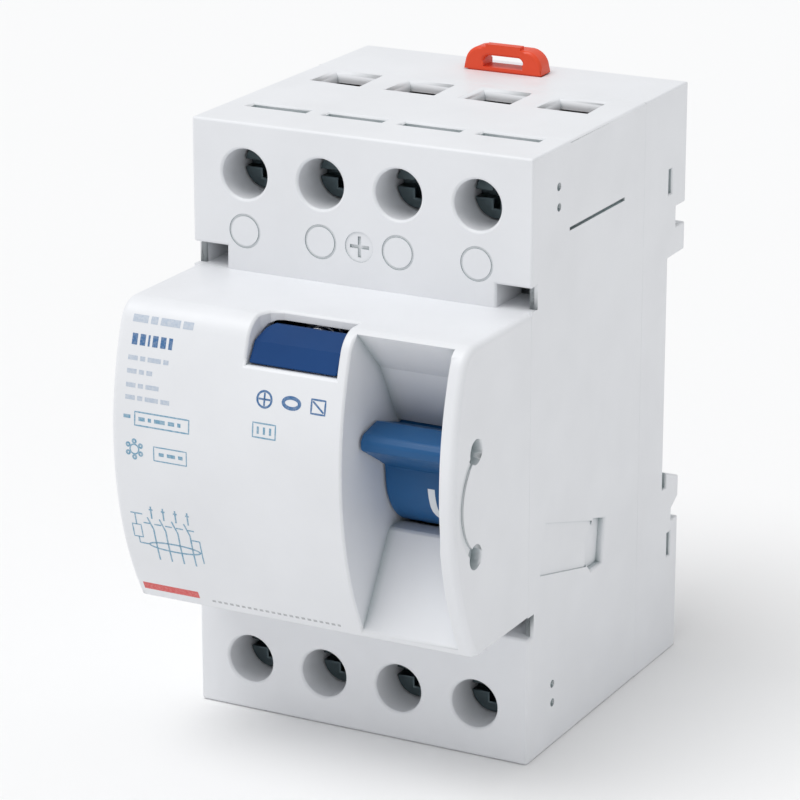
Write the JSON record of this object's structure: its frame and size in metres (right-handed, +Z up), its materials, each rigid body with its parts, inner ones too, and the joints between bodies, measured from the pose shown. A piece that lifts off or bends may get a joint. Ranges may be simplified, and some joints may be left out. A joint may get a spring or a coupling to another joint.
{
  "type": "residual current device",
  "caption": "Modular residual current device for a 35 mm rail, with a blue toggle, a test button, an orange rail clip and screw terminals with lift clamps.",
  "frame": {"origin": "centre of the flat face that rests on the rail, on the rail's centre line", "axes": "+X to the right seen from the front, +Y to the rear into the rail, +Z up towards the line terminals"},
  "size_m": [0.053, 0.0752, 0.092],
  "materials": {
    "housing_white": "fine satin moulded polyamide",
    "toggle_blue": "satin moulded plastic",
    "button_blue": "glossy moulded plastic",
    "clip_orange": "moulded plastic",
    "screw_steel": "zinc-plated steel",
    "clamp_steel": "zinc-plated steel",
    "copper": "bare copper",
    "spring_steel": "drawn wire",
    "inner_plastic": "moulded thermoset",
    "core_metal": "wound strip",
    "resistor_ceramic": "lacquered ceramic"
  },
  "bodies": {
    "housing": {"base_housing": "housing_white", "housing_body": "housing_white", "terminal_front_upper": "housing_white", "terminal_front_lower": "housing_white", "front_cover": "housing_white", "toggle_axle": "spring_steel", "arc_barrier": "inner_plastic", "transformer_case": "inner_plastic", "transformer_core": "core_metal", "transformer_lid": "inner_plastic", "secondary_winding": "copper", "secondary_lead": "copper", "pole_wires": "copper", "trip_relay": "inner_plastic", "trip_lever_pin": "spring_steel", "mechanism_frame": "clamp_steel", "test_contact": "copper", "test_resistor": "resistor_ceramic", "test_lead": "copper", "test_button_spring": "spring_steel", "rail_clip_spring": "spring_steel", "trip_lever_spring": "spring_steel", "toggle_spring": "spring_steel", "line_contact_1": "copper", "load_contact_1": "copper", "load_terminal_1": "copper", "line_contact_2": "copper", "load_contact_2": "copper", "load_terminal_2": "copper", "line_contact_3": "copper", "load_contact_3": "copper", "load_terminal_3": "copper", "line_contact_4": "copper", "load_contact_4": "copper", "load_terminal_4": "copper"},
    "toggle": {"toggle_handle": "toggle_blue", "crank_pin": "spring_steel"},
    "contact_carrier": {"contact_carrier": "inner_plastic", "moving_contacts": "copper", "contact_springs": "spring_steel"},
    "test_button": {"test_button": "button_blue"},
    "rail_clip": {"rail_clip": "clip_orange"},
    "trip_lever": {"trip_lever": "inner_plastic"},
    "relay_plunger": {"relay_plunger": "spring_steel"},
    "line_screw_1": {"line_screw_1": "screw_steel"},
    "line_clamp_1": {"line_clamp_1": "clamp_steel"},
    "line_screw_2": {"line_screw_2": "screw_steel"},
    "line_clamp_2": {"line_clamp_2": "clamp_steel"},
    "line_screw_3": {"line_screw_3": "screw_steel"},
    "line_clamp_3": {"line_clamp_3": "clamp_steel"},
    "line_screw_4": {"line_screw_4": "screw_steel"},
    "line_clamp_4": {"line_clamp_4": "clamp_steel"},
    "load_screw_1": {"load_screw_1": "screw_steel"},
    "load_clamp_1": {"load_clamp_1": "clamp_steel"},
    "load_screw_2": {"load_screw_2": "screw_steel"},
    "load_clamp_2": {"load_clamp_2": "clamp_steel"},
    "load_screw_3": {"load_screw_3": "screw_steel"},
    "load_clamp_3": {"load_clamp_3": "clamp_steel"},
    "load_screw_4": {"load_screw_4": "screw_steel"},
    "load_clamp_4": {"load_clamp_4": "clamp_steel"}
  },
  "joints": [
    {"name": "toggle_hinge", "type": "hinge", "parent": "housing", "child": "toggle", "pos_m": [0.0169, -0.0482, -0.0005], "axis": [1, 0, 0], "range_deg": [0, 42], "deforming": ["toggle_spring"]},
    {"name": "carrier_slide", "type": "slide", "parent": "housing", "child": "contact_carrier", "axis": [0, 0, 1], "range_m": [0, 0.0043]},
    {"name": "test_button_slide", "type": "slide", "parent": "housing", "child": "test_button", "axis": [0, 1, 0], "range_m": [0, 0.0018], "stiffness_N_per_m": 300, "springref_m": -0.003, "deforming": ["test_button_spring"]},
    {"name": "rail_clip_slide", "type": "slide", "parent": "housing", "child": "rail_clip", "axis": [0, 0, 1], "range_m": [0, 0.0045], "stiffness_N_per_m": 800, "springref_m": -0.003, "deforming": ["rail_clip_spring"]},
    {"name": "trip_lever_hinge", "type": "hinge", "parent": "housing", "child": "trip_lever", "pos_m": [0, -0.0425, -0.013], "axis": [-1, 0, 0], "range_deg": [0, 10], "stiffness_Nm_per_rad": 0.003, "springref_deg": -17.19, "deforming": ["trip_lever_spring"]},
    {"name": "relay_plunger_slide", "type": "slide", "parent": "housing", "child": "relay_plunger", "axis": [0, 1, 0], "range_m": [0, 0.0011], "stiffness_N_per_m": 200, "springref_m": -0.002},
    {"name": "line_screw_1_turn", "type": "hinge", "parent": "housing", "child": "line_screw_1", "pos_m": [-0.01815, -0.03, 0.0356], "axis": [0, 1, 0], "range_deg": [0, 2880]},
    {"name": "line_clamp_1_lift", "type": "slide", "parent": "housing", "child": "line_clamp_1", "axis": [0, -1, 0], "range_m": [0, 0.0064]},
    {"name": "line_screw_2_turn", "type": "hinge", "parent": "housing", "child": "line_screw_2", "pos_m": [-0.00605, -0.03, 0.0356], "axis": [0, 1, 0], "range_deg": [0, 2880]},
    {"name": "line_clamp_2_lift", "type": "slide", "parent": "housing", "child": "line_clamp_2", "axis": [0, -1, 0], "range_m": [0, 0.0064]},
    {"name": "line_screw_3_turn", "type": "hinge", "parent": "housing", "child": "line_screw_3", "pos_m": [0.00605, -0.03, 0.0356], "axis": [0, 1, 0], "range_deg": [0, 2880]},
    {"name": "line_clamp_3_lift", "type": "slide", "parent": "housing", "child": "line_clamp_3", "axis": [0, -1, 0], "range_m": [0, 0.0064]},
    {"name": "line_screw_4_turn", "type": "hinge", "parent": "housing", "child": "line_screw_4", "pos_m": [0.01815, -0.03, 0.0356], "axis": [0, 1, 0], "range_deg": [0, 2880]},
    {"name": "line_clamp_4_lift", "type": "slide", "parent": "housing", "child": "line_clamp_4", "axis": [0, -1, 0], "range_m": [0, 0.0064]},
    {"name": "load_screw_1_turn", "type": "hinge", "parent": "housing", "child": "load_screw_1", "pos_m": [-0.01815, -0.03, -0.0372], "axis": [0, 1, 0], "range_deg": [0, 2880]},
    {"name": "load_clamp_1_lift", "type": "slide", "parent": "housing", "child": "load_clamp_1", "axis": [0, -1, 0], "range_m": [0, 0.0064]},
    {"name": "load_screw_2_turn", "type": "hinge", "parent": "housing", "child": "load_screw_2", "pos_m": [-0.00605, -0.03, -0.0372], "axis": [0, 1, 0], "range_deg": [0, 2880]},
    {"name": "load_clamp_2_lift", "type": "slide", "parent": "housing", "child": "load_clamp_2", "axis": [0, -1, 0], "range_m": [0, 0.0064]},
    {"name": "load_screw_3_turn", "type": "hinge", "parent": "housing", "child": "load_screw_3", "pos_m": [0.00605, -0.03, -0.0372], "axis": [0, 1, 0], "range_deg": [0, 2880]},
    {"name": "load_clamp_3_lift", "type": "slide", "parent": "housing", "child": "load_clamp_3", "axis": [0, -1, 0], "range_m": [0, 0.0064]},
    {"name": "load_screw_4_turn", "type": "hinge", "parent": "housing", "child": "load_screw_4", "pos_m": [0.01815, -0.03, -0.0372], "axis": [0, 1, 0], "range_deg": [0, 2880]},
    {"name": "load_clamp_4_lift", "type": "slide", "parent": "housing", "child": "load_clamp_4", "axis": [0, -1, 0], "range_m": [0, 0.0064]}
  ],
  "couplings": [
    {"joint": "toggle_hinge", "follows": "carrier_slide", "rad_per_m": 170.47},
    {"joint": "line_screw_1_turn", "follows": "line_clamp_1_lift", "rad_per_m": 7853.9},
    {"joint": "line_screw_2_turn", "follows": "line_clamp_2_lift", "rad_per_m": 7853.9},
    {"joint": "line_screw_3_turn", "follows": "line_clamp_3_lift", "rad_per_m": 7853.9},
    {"joint": "line_screw_4_turn", "follows": "line_clamp_4_lift", "rad_per_m": 7853.9},
    {"joint": "load_screw_1_turn", "follows": "load_clamp_1_lift", "rad_per_m": 7853.9},
    {"joint": "load_screw_2_turn", "follows": "load_clamp_2_lift", "rad_per_m": 7853.9},
    {"joint": "load_screw_3_turn", "follows": "load_clamp_3_lift", "rad_per_m": 7853.9},
    {"joint": "load_screw_4_turn", "follows": "load_clamp_4_lift", "rad_per_m": 7853.9}
  ]
}
